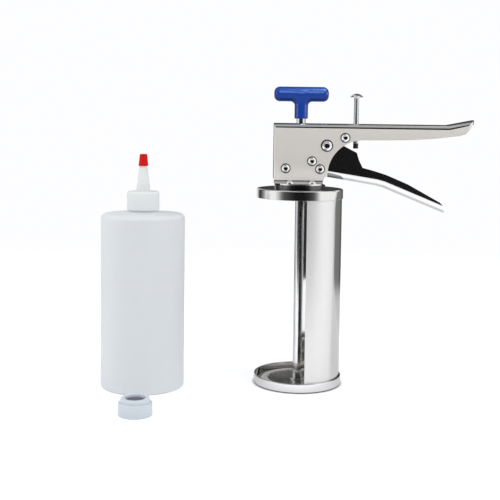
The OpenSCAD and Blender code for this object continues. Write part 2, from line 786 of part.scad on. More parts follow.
// Long screw with a mushroom head, which limits how far the trigger can be squeezed
module adjusting_screw() color("silver")
    translate([screw_x, 0, 0]) {
        translate([0, 0, screw_end + screw_tip_h])
            cylinder(r = screw_r, h = screw_drop + screw_rise - screw_tip_h);
        translate([0, 0, housing_top + screw_rise]) dome(screw_head_d / 2, screw_head_h);
    }

module screw_tip() color([0.1, 0.1, 0.1])
    translate([screw_x, 0, screw_end])
        cylinder(r = screw_r - 0.1, h = screw_tip_h - run_clear);

// Half the bottle's outline, drawn in by inset, from its turned-in lip to its neck
module bottle_outline(inset) {
    r = bottle_r - inset;
    low_r = lip_bend_r - inset;
    high_r = shoulder_r - inset;
    top = shoulder_z - inset;
    translate([0, lip_bend_r]) square([r, top - high_r - lip_bend_r]);
    translate([0, inset]) square([r - low_r, lip_bend_r - inset]);
    translate([r - low_r, lip_bend_r]) circle(low_r);
    translate([r - high_r, top - high_r]) circle(high_r);
    polygon([[0, top - high_r], [r - high_r, top - high_r], [r - high_r, top],
        [neck_r - inset, bottle_h - inset], [0, bottle_h - inset]]);
    translate([0, bottle_h - inset - 1]) square([neck_r - 2 * inset, collar_h + inset + 1]);
}

// Blown bottle, open at its foot for the follower and the push plate
module bottle() color([0.86, 0.88, 0.9])
    translate([-bottle_x, -bottle_y, 0])
        rotate_extrude()
            difference() {
                union() {
                    bottle_outline(0);
                    square([finish_r, finish_z]);
                }
                difference() {
                    bottle_outline(bottle_wall);
                    translate([0, collar_z - 1.5]) square([bottle_r, finish_h]);
                }
                square([finish_r - 1.5, finish_z]);
                square([mouth_r, bottle_wall + 1]);
            }

// Cup-shaped follower that the push plate drives up the bottle
module follower() color("whitesmoke")
    translate([-bottle_x, -bottle_y, follower_z]) {
        r = inner_r - side_clear;
        difference() {
            cylinder(r = r, h = follower_h);
            translate([0, 0, -1]) cylinder(r = r - follower_wall, h = follower_h - follower_wall + 1);
        }
    }

// Sealing ring between the neck's end and the nozzle cap's roof
module cap_seal() color("white")
    translate([-bottle_x, -bottle_y, finish_z + pin_clear])
        difference() {
            cylinder(r = finish_r, h = roof_z - finish_z - 2 * pin_clear);
            translate([0, 0, -1]) cylinder(r = spout_foot_r - spout_wall, h = nozzle_h);
        }

// Screw cap with its long tapered spout in one piece
module nozzle_cap() color([0.88, 0.9, 0.89])
    translate([-bottle_x, -bottle_y, 0])
        rotate_extrude()
            difference() {
                union() {
                    translate([0, cap_z]) square([nozzle_r, nozzle_h - nozzle_edge_r]);
                    translate([0, cap_z]) square([nozzle_r - nozzle_edge_r, nozzle_h]);
                    translate([nozzle_r - nozzle_edge_r, spout_z - nozzle_edge_r])
                        circle(nozzle_edge_r);
                    polygon([[0, roof_z], [spout_foot_r, roof_z],
                        [spout_foot_r, spout_z + spout_foot_h], [spout_end_r, spout_top],
                        [0, spout_top]]);
                }
                translate([0, cap_z - 1]) square([finish_r + run_clear, roof_z - cap_z + 1]);
                polygon([[0, roof_z - 1], [spout_foot_r - spout_wall, roof_z - 1],
                    [spout_foot_r - spout_wall, spout_z + spout_foot_h],
                    [spout_bore_r, spout_top - 2], [spout_bore_r, spout_top + 1],
                    [0, spout_top + 1]]);
            }

// Red cap over the end of the spout
module tip_cap() color([0.88, 0.12, 0.08])
    translate([-bottle_x, -bottle_y, 0])
        rotate_extrude()
            difference() {
                polygon([[0, tip_z], [tip_rim_r, tip_z], [tip_rim_r, tip_z + tip_rim_h],
                    [tip_rim_r - 0.2, tip_z + tip_rim_h + 0.3], [tip_top_r, tip_z + tip_len],
                    [0, tip_z + tip_len]]);
                translate([0, -run_clear - pin_clear])
                    polygon([[0, spout_z], [spout_r_at(spout_z) + run_clear, spout_z],
                        [spout_end_r + run_clear, spout_top + 2 * run_clear],
                        [0, spout_top + 2 * run_clear]]);
            }

// Outer radius of the spout's cone at height z
function spout_r_at(z) = spout_end_r
    + (spout_foot_r - spout_end_r) * (spout_top - z) / (spout_len - spout_foot_h);

// Spare screw cap with a raised ring round its opening
module spare_cap() color([0.8, 0.84, 0.88])
    translate([-spare_x, -spare_y, 0])
        rotate_extrude()
            difference() {
                edge = 1.2;
                top = spare_skirt + spare_ring_h;
                union() {
                    square([spare_r, spare_skirt - edge]);
                    square([spare_r - edge, spare_skirt]);
                    translate([spare_r - edge, spare_skirt - edge]) circle(edge);
                    square([spare_ring_r, top - edge]);
                    square([spare_ring_r - edge, top]);
                    translate([spare_ring_r - edge, top - edge]) circle(edge);
                }
                square([spare_r - spare_wall, spare_skirt - spare_wall]);
                square([spare_ring_r - spare_wall, top - spare_wall - 1]);
                square([spare_hole_r, top + 1]);
            }

// Soft valve disc with a cross slit, recessed in the spare cap
module spare_valve() color([0.37, 0.35, 0.41])
    translate([-spare_x, -spare_y, spare_skirt + spare_ring_h - spare_wall - 1 - valve_t])
        difference() {
            cylinder(r = spare_ring_r - spare_wall - pin_clear, h = valve_t - pin_clear);
            for (a = [0, 90])
                rotate(a) translate([-3, -0.1, -1]) cube([6, 0.2, valve_t + 2]);
        }

// Ring that holds the valve disc from below
module spare_valve_ring() color([0.8, 0.84, 0.88])
    translate([-spare_x, -spare_y,
        spare_skirt + spare_ring_h - spare_wall - 1 - valve_t - valve_ring_h])
        difference() {
            cylinder(r = spare_ring_r - spare_wall - pin_clear, h = valve_ring_h - pin_clear);
            translate([0, 0, -1]) cylinder(r = spare_hole_r, h = valve_ring_h + 2);
        }

bottom_dish();
cradle_shell();
top_cap();
foot_pad();
housing();
foot_rivets();
rod_bush();
rod_guide();
guide_pin();
holding_pawl_pin();
rest_stop_pin();
trigger_pin();
squeeze_stop_pin();
rest_stop_sleeve();
screw_nut();
trigger_spring();
holding_pawl_spring();
holding_pawl();
trigger();
trigger_bush();
drive_pawl_pin();
drive_pawl_spring();
drive_pawl();
push_plate();
plate_washer();
push_rod();
rod_nut();
t_handle();
adjusting_screw();
screw_tip();
bottle();
follower();
cap_seal();
nozzle_cap();
tip_cap();
spare_cap();
spare_valve();
spare_valve_ring();
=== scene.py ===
import bpy, bmesh, math
from mathutils import Matrix, Vector


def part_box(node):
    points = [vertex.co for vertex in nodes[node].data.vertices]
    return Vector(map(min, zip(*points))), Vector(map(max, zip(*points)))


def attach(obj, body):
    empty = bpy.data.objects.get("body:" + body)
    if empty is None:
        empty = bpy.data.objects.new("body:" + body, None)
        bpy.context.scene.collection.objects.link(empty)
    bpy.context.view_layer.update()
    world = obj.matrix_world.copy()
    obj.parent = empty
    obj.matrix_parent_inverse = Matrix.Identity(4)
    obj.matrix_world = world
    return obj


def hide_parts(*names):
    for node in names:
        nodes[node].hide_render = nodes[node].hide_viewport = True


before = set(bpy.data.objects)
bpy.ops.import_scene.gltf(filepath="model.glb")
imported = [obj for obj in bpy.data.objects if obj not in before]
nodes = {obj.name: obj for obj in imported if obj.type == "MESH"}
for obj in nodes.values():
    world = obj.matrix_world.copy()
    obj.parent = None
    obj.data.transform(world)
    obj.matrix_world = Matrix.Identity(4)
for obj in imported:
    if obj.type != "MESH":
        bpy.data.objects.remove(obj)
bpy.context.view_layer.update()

# --- Photo table
# The set stands on a white table in a light tent, with a softbox on each side and a darker
# room behind the camera. Polished steel shows that room, so it is described by direction.
camera_data = bpy.data.cameras.new("camera")
camera_data.sensor_width = 36
camera_data.lens = 67.1
camera_data.shift_y = -0.13
camera_at, looks_down, roll = (-0.0495, -0.921, 0.260), 3.9, 0.75
camera = bpy.data.objects.new("camera", camera_data)
camera.matrix_world = (Matrix.Translation(camera_at)
                       @ Matrix.Rotation(math.radians(90 - looks_down), 4, "X")
                       @ Matrix.Rotation(math.radians(roll), 4, "Z"))
bpy.context.scene.collection.objects.link(camera)
bpy.context.scene.camera = camera


def tree_of(owner):
    owner.use_nodes = True
    owner.node_tree.nodes.clear()
    return owner.node_tree


def add(tree, kind, at=(0, 0), **settings):
    node = tree.nodes.new(kind)
    node.location = at
    for key, value in settings.items():
        setattr(node, key, value)
    return node


def feed(tree, node, rows):
    """Links each named input of a node to an output, or sets it to a plain value."""
    for key, value in rows:
        if isinstance(value, bpy.types.NodeSocket):
            tree.links.new(value, node.inputs[key])
        else:
            node.inputs[key].default_value = value


def maths(tree, operation, a, b, at=(0, 0)):
    node = add(tree, "ShaderNodeMath", at, operation=operation)
    feed(tree, node, [(0, a), (1, b)])
    return node.outputs[0]


def between(tree, value, start, end, low=0, high=1, at=(0, 0), kind="LINEAR"):
    """Low before the value reaches start, high once it is past end, and a slope between."""
    node = add(tree, "ShaderNodeMapRange", at, interpolation_type=kind)
    feed(tree, node, [("Value", value), ("From Min", start), ("From Max", end), ("To Min", low),
                      ("To Max", high)])
    return node.outputs["Result"]


def blended(tree, share, a, b, at=(0, 0), kind="MIX"):
    """A colour between two others, each given as a colour or as an output."""
    node = add(tree, "ShaderNodeMix", at, data_type="RGBA", blend_type=kind)
    feed(tree, node, [("Factor", share)] + [
        (key, (*given, 1) if isinstance(given, tuple) else given)
        for key, given in [("A", a), ("B", b)]])
    return node.outputs["Result"]


def greys(tree, share, low, high, stops, at=(0, 0)):
    """Greys by place, where the share runs from 0 at the place low to 1 at the place high."""
    node = add(tree, "ShaderNodeValToRGB", at)
    marks = node.color_ramp.elements
    marks.remove(marks[-1])
    for k, (place, grey) in enumerate(stops):
        where = (place - low) / (high - low)
        mark = marks.new(where) if k else marks[0]
        mark.position = where
        mark.color = (grey, grey, grey, 1)
    tree.links.new(share, node.inputs["Fac"])
    return node.outputs["Color"]


def either(tree, share, first, second, at=(0, 0)):
    """The first shader where the share is 0, and the second where it is 1."""
    node = add(tree, "ShaderNodeMixShader", at)
    feed(tree, node, enumerate((share, first, second)))
    return node.outputs[0]


# Walls are given by the angle from the camera's side, and the canopy and table by height.
room = bpy.data.worlds.new("light_room")
bpy.context.scene.world = room
tree = tree_of(room)
link = tree.links.new
tent_white = (0.985, 0.987, 1.0, 1)
direction = add(tree, "ShaderNodeTexCoord", (-1400, 0))
split = add(tree, "ShaderNodeSeparateXYZ", (-1200, 0))
link(direction.outputs["Generated"], split.inputs[0])
front = maths(tree, "MULTIPLY", split.outputs["Y"], -1, (-1000, 100))
turn = maths(tree, "ARCTAN2", split.outputs["X"], front, (-800, 0))
around = between(tree, turn, -math.pi, math.pi, at=(-600, 0))
walls = greys(tree, around, -180, 180, [
    (-180, 0.05), (-173, 0.05), (-169, 0.80), (-156, 0.85), (-149, 0.35), (-140, 0.08),
    (-132, 0.05), (-126, 0.12), (-120, 0.20), (-110, 0.50), (-104, 0.85), (-98, 1.0), (-72, 1.0),
    (-62, 0.66), (-54, 0.28), (-47, 0.12), (-42, 0.08), (-28, 0.035), (-14, 0.010), (8, 0.008),
    (24, 0.035), (34, 0.09), (40, 0.22), (46, 0.50), (51, 0.85), (55, 1.0), (101, 1.0),
    (110, 0.22), (138, 0.20), (150, 0.10), (172, 0.05), (180, 0.05)], (-400, 0))
height = between(tree, split.outputs["Z"], -1, 1, at=(-600, -300))
overhead = greys(tree, height, -1, 1, [(-1, 0), (0.52, 0), (0.72, 1), (1, 1)], (-400, -300))
ahead = between(tree, front, -0.05, 0.45, at=(-600, -750))
canopy = maths(tree, "MULTIPLY", overhead, ahead, (-100, -300))
with_canopy = blended(tree, canopy, walls, (0.48, 0.48, 0.49), (-100, 0), "LIGHTEN")
underfoot = greys(tree, height, -1, 1, [(-1, 1), (-0.19, 1), (-0.165, 0), (1, 0)], (-400, -560))
far_table = greys(tree, around, -180, 180, [
    (-180, 0.62), (-118, 0.62), (-112, 1.0), (108, 1.0), (114, 0.62), (180, 0.62)], (-100, -900))
with_table = blended(tree, underfoot, with_canopy, far_table, (100, 0))
mirrored_room = add(tree, "ShaderNodeBackground", (350, 0))
link(with_table, mirrored_room.inputs["Color"])
tent = add(tree, "ShaderNodeBackground", (350, -200))
feed(tree, tent, [
    ("Color", (0.97, 0.98, 1.0, 1)),
    ("Strength", between(tree, split.outputs["Z"], -0.6, 0.9, 0.62, 1.05, (-100, -400)))])
backdrop = add(tree, "ShaderNodeBackground", (350, 200))
backdrop.inputs["Color"].default_value = tent_white
rays = add(tree, "ShaderNodeLightPath", (-100, 400))
lit = either(tree, rays.outputs["Is Glossy Ray"], tent.outputs[0], mirrored_room.outputs[0],
             (600, 0))
seen = either(tree, rays.outputs["Is Camera Ray"], lit, backdrop.outputs[0], (800, 0))
link(seen, add(tree, "ShaderNodeOutputWorld", (1000, 0)).inputs["Surface"])

# The table is white to the camera, dim where steel mirrors its far half, and shaded close round
# what stands on it;
# round the gun an occlusion pass darkens its glow as painted contact shade. It fades out towards
# the back, into the white backdrop.
half_width, near_edge, far_edge = 1.6, -0.50, 1.2
table_mesh = bpy.data.meshes.new("table")
table_mesh.from_pydata([(-half_width, near_edge, 0), (half_width, near_edge, 0),
                        (half_width, far_edge, 0), (-half_width, far_edge, 0)],
                       [], [(0, 1, 2, 3)])
table = bpy.data.objects.new("table", table_mesh)
bpy.context.scene.collection.objects.link(table)
table_paint = bpy.data.materials.new("table_paint")
tree = tree_of(table_paint)
link = tree.links.new
rays = add(tree, "ShaderNodeLightPath", (-900, 300))
mirrored = rays.outputs["Is Glossy Ray"]
place = add(tree, "ShaderNodeTexCoord", (-1100, 600))
axes = add(tree, "ShaderNodeSeparateXYZ", (-900, 600))
link(place.outputs["Object"], axes.inputs[0])
rear = between(tree, axes.outputs["Y"], -0.10, 0.01, at=(-700, 500), kind="SMOOTHSTEP")
dimmed = maths(tree, "MULTIPLY", rear, mirrored, (-500, 400))
paint = add(tree, "ShaderNodeBsdfDiffuse", (-100, 0))
link(blended(tree, dimmed, (0.42, 0.42, 0.43), (0.27, 0.27, 0.28), (-300, 100)),
     paint.inputs["Color"])
# Painted contact shade: occlusion darkens the table's glow round the gun.
occlusion_shade = add(tree, "ShaderNodeAmbientOcclusion", (-500, -200), samples=8)
occlusion_shade.inputs["Distance"].default_value = 0.003
level = between(tree, dimmed, 0, 1, 0.60, 0.40, (-500, 0))
under_gun = between(tree, axes.outputs["X"], -0.10, -0.07, 0, 2, (-700, -400))
painted_contact_shade = maths(tree, "POWER", occlusion_shade.outputs["AO"], under_gun, (-400, -300))
glow = add(tree, "ShaderNodeEmission", (-100, -150))
feed(tree, glow, [("Color", tent_white),
                  ("Strength", maths(tree, "MULTIPLY", level, painted_contact_shade, (-300, -150)))])
glowing = add(tree, "ShaderNodeAddShader", (100, -50))
feed(tree, glowing, [(0, paint.outputs[0]), (1, glow.outputs[0])])
plain = add(tree, "ShaderNodeBsdfDiffuse", (100, -250))
plain.inputs["Color"].default_value = (0.80, 0.80, 0.81, 1)
looked_at = maths(tree, "MAXIMUM", rays.outputs["Is Camera Ray"], mirrored, (100, 300))
surface = either(tree, looked_at, plain.outputs[0], glowing.outputs[0], (300, 0))
far = between(tree, axes.outputs["Y"], 0.3, 1.1, at=(300, 600), kind="SMOOTHSTEP")
past_gun = between(tree, axes.outputs["Y"], 0.15, 0.25, at=(300, 900), kind="SMOOTHSTEP")
gone = maths(tree, "MAXIMUM", far, maths(tree, "MULTIPLY", past_gun, mirrored, (500, 800)),
             (500, 500))
clear = add(tree, "ShaderNodeBsdfTransparent", (300, 200))
link(either(tree, gone, surface, clear.outputs[0], (500, 100)),
     add(tree, "ShaderNodeOutputMaterial", (700, 0)).inputs["Surface"])
table.data.materials.append(table_paint)

# The softboxes light everything but are too near to show in the steel, which mirrors the
# room. The blue handle shows them as soft highlights, so a second, dim set serves it alone.
# The milky pieces glow from within and need no light from straight above.
blue_pieces = bpy.data.collections.new("blue_pieces")
milky_pieces = bpy.data.collections.new("milky_pieces")


def softbox(name, place, aim, size, watts, receivers=None, mirrored=False, spread=True,
            colour=(1, 1, 1)):
    lamp_data = bpy.data.lights.new(name, "AREA")
    lamp_data.size = size
    lamp_data.energy = watts
    lamp_data.color = colour
    lamp = bpy.data.objects.new(name, lamp_data)
    lamp.location = place
    lamp.rotation_euler = (Vector(aim) - Vector(place)).to_track_quat("-Z", "Y").to_euler()
    lamp.visible_glossy = mirrored
    lamp.visible_diffuse = spread
    if receivers:
        lamp.light_linking.receiver_collection = receivers
    bpy.context.scene.collection.objects.link(lamp)


between_pieces, at_handle, azure = (-0.05, 0, 0.12), (0, 0, 0.28), (0.60, 0.84, 1.0)
softbox("left_softbox", (-0.85, -0.45, 0.65), between_pieces, 0.6, 2.3)
softbox("right_softbox", (0.90, -0.45, 0.55), between_pieces, 0.6, 3.4)
softbox("top_softbox", (0.05, -0.25, 1.10), (0, 0, 0.10), 0.7, 3.0, milky_pieces)
softbox("left_window", (-0.70, -0.16, 0.30), at_handle, 0.14, 0.8, blue_pieces, True, False)
softbox("right_window", (0.70, -0.10, 0.40), at_handle, 0.30, 2.4, blue_pieces, True, False)
softbox("front_window", (0, -0.55, 0.66), at_handle, 0.42, 4.6, blue_pieces, True, True, azure)
softbox("upper_window", (0.14, -0.05, 0.60), (0, 0, 0.287), 0.22, 2.4, blue_pieces, True, False,
        azure)

# --- Bottom dish
# A shallow dish pressed from 0.8 mm stainless sheet, polished inside and out. Its rim is
# rolled outwards into a bead, and its floor has the hole that the bottle's nozzle passes.
mm = 0.001


def corners(node):
    """The lowest and highest corner of a CAD node in mm, to the 0.05 mm its sizes are set in."""
    return [[round(c / mm * 20) / 20 for c in corner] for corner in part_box(node)]


def turned_size(node):
    """Axis, radius, foot and top of an upright turned CAD node, in mm."""
    low, high = corners(node)
    axis = ((low[0] + high[0]) / 2, (low[1] + high[1]) / 2)
    return axis, high[0] - axis[0], low[2], high[2]


def group_input(group, name, kind, value=None):
    socket = group.interface.new_socket(name, in_out="INPUT", socket_type="NodeSocket" + kind)
    if value is not None:
        socket.default_value = value


def marks_group():
    """Fine polishing lines and hand marks: a roughness and a bump height from a position."""
    group = bpy.data.node_groups.new("polishing_marks", "ShaderNodeTree")
    group_input(group, "Position", "Vector")
    for name, value in [("Gloss", 0.05), ("Haze", 0.03), ("Lines", 0.02), ("Line density", 900.0)]:
        group_input(group, name, "Float", value)
    for name in ("Roughness", "Height"):
        group.interface.new_socket(name, in_out="OUTPUT", socket_type="NodeSocketFloat")
    taken = add(group, "NodeGroupInput", (-900, 0))
    given = add(group, "NodeGroupOutput", (500, 0))
    clouds = add(group, "ShaderNodeTexNoise", (-600, 200))
    feed(group, clouds, [("Vector", taken.outputs["Position"]), ("Scale", 38), ("Detail", 4)])
    lines = add(group, "ShaderNodeTexNoise", (-600, -200))
    feed(group, lines, [("Vector", taken.outputs["Position"]),
                        ("Scale", taken.outputs["Line density"]), ("Detail", 2)])
    haze = maths(group, "MULTIPLY", clouds.outputs["Fac"], taken.outputs["Haze"], (-300, 200))
    streaks = maths(group, "MULTIPLY", lines.outputs["Fac"], taken.outputs["Lines"], (-300, -100))
    dull = maths(group, "ADD", haze, streaks, (-50, 100))
    roughness = maths(group, "ADD", dull, taken.outputs["Gloss"], (200, 100))
    feed(group, given, [("Roughness", roughness), ("Height", lines.outputs["Fac"])])
    return group


polishing_marks = marks_group()
relief = 0.0002


def polished(tree, position, gloss, haze, lines, density, bump):
    """The node of the polishing marks, and a shader whose gloss and relief follow it."""
    marks = add(tree, "ShaderNodeGroup", (-650, 0))
    marks.node_tree = polishing_marks
    feed(tree, marks, [("Position", position), ("Gloss", gloss), ("Haze", haze),
                       ("Lines", lines), ("Line density", density)])
    dents = add(tree, "ShaderNodeBump", (-350, -250))
    feed(tree, dents, [("Strength", bump), ("Distance", relief),
                       ("Height", marks.outputs["Height"])])
    shader = add(tree, "ShaderNodeBsdfPrincipled", (0, 0))
    feed(tree, shader, [("Roughness", marks.outputs["Roughness"]), ("Normal", dents.outputs[0])])
    out = add(tree, "ShaderNodeOutputMaterial", (300, 0))
    tree.links.new(shader.outputs[0], out.inputs["Surface"])
    return marks, shader


def steel(name, colour, gloss, haze, lines, density=900.0, stretch=(1, 1, 1), bump=0.02,
          metallic=1.0, contrast=0.07):
    """Stainless steel with its polishing lines drawn out along the axis of the small stretch."""
    material = bpy.data.materials.new(name)
    tree = tree_of(material)
    place = add(tree, "ShaderNodeTexCoord", (-1100, 0))
    drawn = add(tree, "ShaderNodeMapping", (-900, 0))
    feed(tree, drawn, [("Scale", stretch), ("Vector", place.outputs["Object"])])
    marks, metal = polished(tree, drawn.outputs[0], gloss, haze, lines, density, bump)
    darker = tuple(c * (1 - contrast) for c in colour)
    feed(tree, metal, [
        ("Metallic", metallic),
        ("Base Color", blended(tree, marks.outputs["Height"], colour, darker, (-350, 250)))])
    return material


mirror_steel = steel("mirror_steel", (0.86, 0.855, 0.845), 0.045, 0.03, 0.02)


def arc(x, z, r, start, end, steps=6):
    """Points on an arc round (x, z), angles in degrees from +X towards +Z."""
    return [(x + r * math.cos(math.radians(start + (end - start) * i / steps)),
             z + r * math.sin(math.radians(start + (end - start) * i / steps)))
            for i in range(steps + 1)]


def smooth(piece, degrees=32):
    piece.data.shade_smooth()
    piece.data.set_sharp_from_angle(angle=math.radians(degrees))
    return piece


def solid(name, mesh_or_bm, materials, body, stands_for):
    """A finished piece that rides on its body in place of its CAD nodes."""
    if isinstance(mesh_or_bm, bmesh.types.BMesh):
        mesh = bpy.data.meshes.new(name)
        mesh_or_bm.to_mesh(mesh)
        mesh_or_bm.free()
    else:
        mesh = mesh_or_bm
    piece = bpy.data.objects.new(name, mesh)
    bpy.context.scene.collection.objects.link(piece)
    for material in materials:
        mesh.materials.append(material)
    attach(piece, body)
    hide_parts(*stands_for)
    return piece


def turned(outline, steps=160, axis=(0, 0)):
    """A closed outline of (radius, height) points in mm, turned round an upright axis."""
    bm = bmesh.new()
    rings = []
    for r, z in outline:
        if r < 1e-6:
            rings.append([bm.verts.new((axis[0] * mm, axis[1] * mm, z * mm))])
        else:
            rings.append([bm.verts.new(((axis[0] + r * math.cos(math.tau * i / steps)) * mm,
                                        (axis[1] + r * math.sin(math.tau * i / steps)) * mm,
                                        z * mm)) for i in range(steps)])
    for a, b in zip(rings, rings[1:] + rings[:1]):
        if len(a) == 1 and len(b) == 1:
            continue
        for i in range(steps):
            j = (i + 1) % steps
            loop = [a[i % len(a)], a[j % len(a)], b[j % len(b)], b[i % len(b)]]
            kept = [v for k, v in enumerate(loop) if v not in loop[:k]]
            if len(kept) > 2:
                bm.faces.new(kept)
    bmesh.ops.recalc_face_normals(bm, faces=bm.faces)
    return bm


def from_axis(face):
    """How far a face's middle is from the gun's upright axis, in mm."""
    return math.hypot(face.center.x / mm, face.center.y / mm)


wall, bead, floor_bend, neck_hole_r = 0.8, 0.75, 1.6, 17.5
_, dish_out, _, dish_top = turned_size("bottom_dish")
bend_x = dish_out - floor_bend
dish_outline = (
    [(neck_hole_r, 0.0), (bend_x, 0.0)]
    + arc(bend_x, floor_bend, floor_bend, -90, 0)[1:]
    + [(dish_out, dish_top - bead)]
    + arc(dish_out - bead, dish_top - bead, bead, 0, 230, 12)[1:]
    + [(dish_out - wall, floor_bend)]
    + arc(bend_x, floor_bend, floor_bend - wall, 0, -90)[1:]
    + [(neck_hole_r, wall)])
# Near-black steel on the dish's lowest outside bend: a painted shade line for the mirrored contact
# shadow under the dish.
shade_line_steel = steel("shade_line_steel", (0.16, 0.155, 0.15), 0.35, 0.06, 0.05)
bottom_dish = smooth(solid("pressed_dish", turned(dish_outline), [mirror_steel, shade_line_steel],
                           "frame", ["bottom_dish"]))
shade_line_width, shade_line_height = 4, 0.9
for face in bottom_dish.data.polygons:
    in_shade_line = from_axis(face) > dish_out - shade_line_width and face.center.z < shade_line_height * mm
    face.material_index = 1 if in_shade_line else 0

# --- Cradle shell
# Half a tube of the same sheet that holds the bottle, welded to the dish and pushed up into
# the cap. Its two long edges are broken with a file, and it is polished along its length.
def new_tree(name, inputs, on_geometry=False):
    """A geometry tree with named inputs for its sizes and its material, and its input node."""
    group = bpy.data.node_groups.new(name, "GeometryNodeTree")
    if on_geometry:
        group_input(group, "Geometry", "Geometry")
    for key, kind, value in inputs:
        group_input(group, key, kind, value)
    group_input(group, "Material", "Material")
    group.interface.new_socket("Geometry", in_out="OUTPUT", socket_type="NodeSocketGeometry")
    return group, add(group, "NodeGroupInput", (-1300, 0))


def end_tree(group, taken, geometry):
    """Makes the instances real, sets the material and hands the result over."""
    real = add(group, "GeometryNodeRealizeInstances", (600, 0))
    feed(group, real, [(0, geometry)])
    coat = add(group, "GeometryNodeSetMaterial", (800, 0))
    feed(group, coat, [("Geometry", real.outputs[0]), ("Material", taken.outputs["Material"])])
    feed(group, add(group, "NodeGroupOutput", (1000, 0)), [(0, coat.outputs[0])])


def placed(group, geometry, offset, at=(0, 0)):
    """Geometry lifted by an offset along Z."""
    rise = add(group, "ShaderNodeCombineXYZ", (at[0] - 200, at[1] - 200))
    feed(group, rise, [("Z", offset)])
    moved = add(group, "GeometryNodeTransform", at)
    feed(group, moved, [("Geometry", geometry), ("Translation", rise.outputs[0])])
    return moved.outputs[0]


def plain_mesh(owner):
    """A plain mesh of an object with its modifiers run."""
    bpy.context.view_layer.update()
    return bpy.data.meshes.new_from_object(
        owner.evaluated_get(bpy.context.evaluated_depsgraph_get()))


def run_tree(name, group, values, mesh=None):
    """Runs a geometry tree on a carrier object and gives back the plain mesh it makes."""
    carrier = bpy.data.objects.new(name + "_carrier", mesh or bpy.data.meshes.new(name))
    bpy.context.scene.collection.objects.link(carrier)
    modifier = carrier.modifiers.new(name, "NODES")
    modifier.node_group = group
    for item in group.interface.items_tree:
        if item.item_type == "SOCKET" and item.in_out == "INPUT" and item.name in values:
            modifier[item.identifier] = values[item.name]
    made = plain_mesh(carrier)
    made.name = name
    made.materials.clear()
    bpy.data.objects.remove(carrier)
    return made


def shell_group():
    group, taken = new_tree("half_tube", [
        ("Radius", "Float", 0.0413), ("Wall", "Float", 0.0008), ("Low", "Float", 0.0008),
        ("High", "Float", 0.1933), ("Edge round", "Float", 0.00025), ("Half angle", "Float", 1.6)])
    size = taken.outputs
    bow = add(group, "GeometryNodeCurveArc", (-700, 200), mode="RADIUS")
    feed(group, bow, [
        ("Resolution", 121), ("Radius", size["Radius"]),
        ("Start Angle", maths(group, "MULTIPLY", size["Half angle"], -1, (-1000, -200))),
        ("Sweep Angle", maths(group, "MULTIPLY", size["Half angle"], 2, (-1000, -350)))])
    sheet = add(group, "GeometryNodeCurvePrimitiveQuadrilateral", (-700, -150))
    feed(group, sheet, [
        ("Width", size["Wall"]),
        ("Height", maths(group, "SUBTRACT", size["High"], size["Low"], (-1000, 100)))])
    broken = add(group, "GeometryNodeFilletCurve", (-450, -150), mode="POLY")
    feed(group, broken, [("Count", 3), ("Curve", sheet.outputs[0]), ("Radius", size["Edge round"])])
    swept = add(group, "GeometryNodeCurveToMesh", (-200, 0))
    feed(group, swept, [("Fill Caps", True), ("Curve", bow.outputs["Curve"]),
                        ("Profile Curve", broken.outputs[0])])
    ends = maths(group, "ADD", size["High"], size["Low"], (-1000, 300))
    middle = maths(group, "MULTIPLY", ends, 0.5, (-800, 400))
    end_tree(group, taken, placed(group, swept.outputs[0], middle, (50, 0)))
    return group


def tube_steel():
    """Satin tube: dull when seen square on, and mirror-like at a flat angle, as ground steel is."""
    material = steel("tube_steel", (0.82, 0.815, 0.805), 0.0, 0.03, 0.04, 1100.0, (1, 1, 0.02))
    tree = material.node_tree
    metal = next(node for node in tree.nodes if node.type == "BSDF_PRINCIPLED")
    marks = next(node for node in tree.nodes if node.type == "GROUP")
    slant = add(tree, "ShaderNodeLayerWeight", (-1100, -500))
    slant.inputs["Blend"].default_value = 0.5
    dull, metallic = [
        between(tree, slant.outputs["Facing"], 0.36, 0.50, square, flat, (-650, -500), "SMOOTHSTEP")
        for square, flat in [(0.40, 0.08), (0.62, 1.0)]]
    feed(tree, metal, [
        ("Roughness", maths(tree, "ADD", marks.outputs["Roughness"], dull, (-250, -500))),
        ("Metallic", metallic)])
    return material


shell_steel = tube_steel()
(shell_edge_x, _, shell_low), (shell_out, _, shell_high) = corners("cradle_shell")
shell_mid, filed_edge = shell_out - wall / 2, 0.25
bm = bmesh.new()
bm.from_mesh(run_tree("half_tube", shell_group(), {
    "Radius": shell_mid * mm, "Wall": wall * mm, "Low": shell_low * mm, "High": shell_high * mm,
    "Edge round": filed_edge * mm, "Half angle": math.acos(shell_edge_x / shell_mid),
    "Material": shell_steel}))
bmesh.ops.recalc_face_normals(bm, faces=bm.faces)
cradle_shell = smooth(solid("half_tube", bm, [shell_steel, mirror_steel], "frame",
                            ["cradle_shell"]))
for face in cradle_shell.data.polygons:
    outwards = face.normal.x * face.center.x + face.normal.y * face.center.y
    face.material_index = 1 if outwards < 0.02 * mm else 0

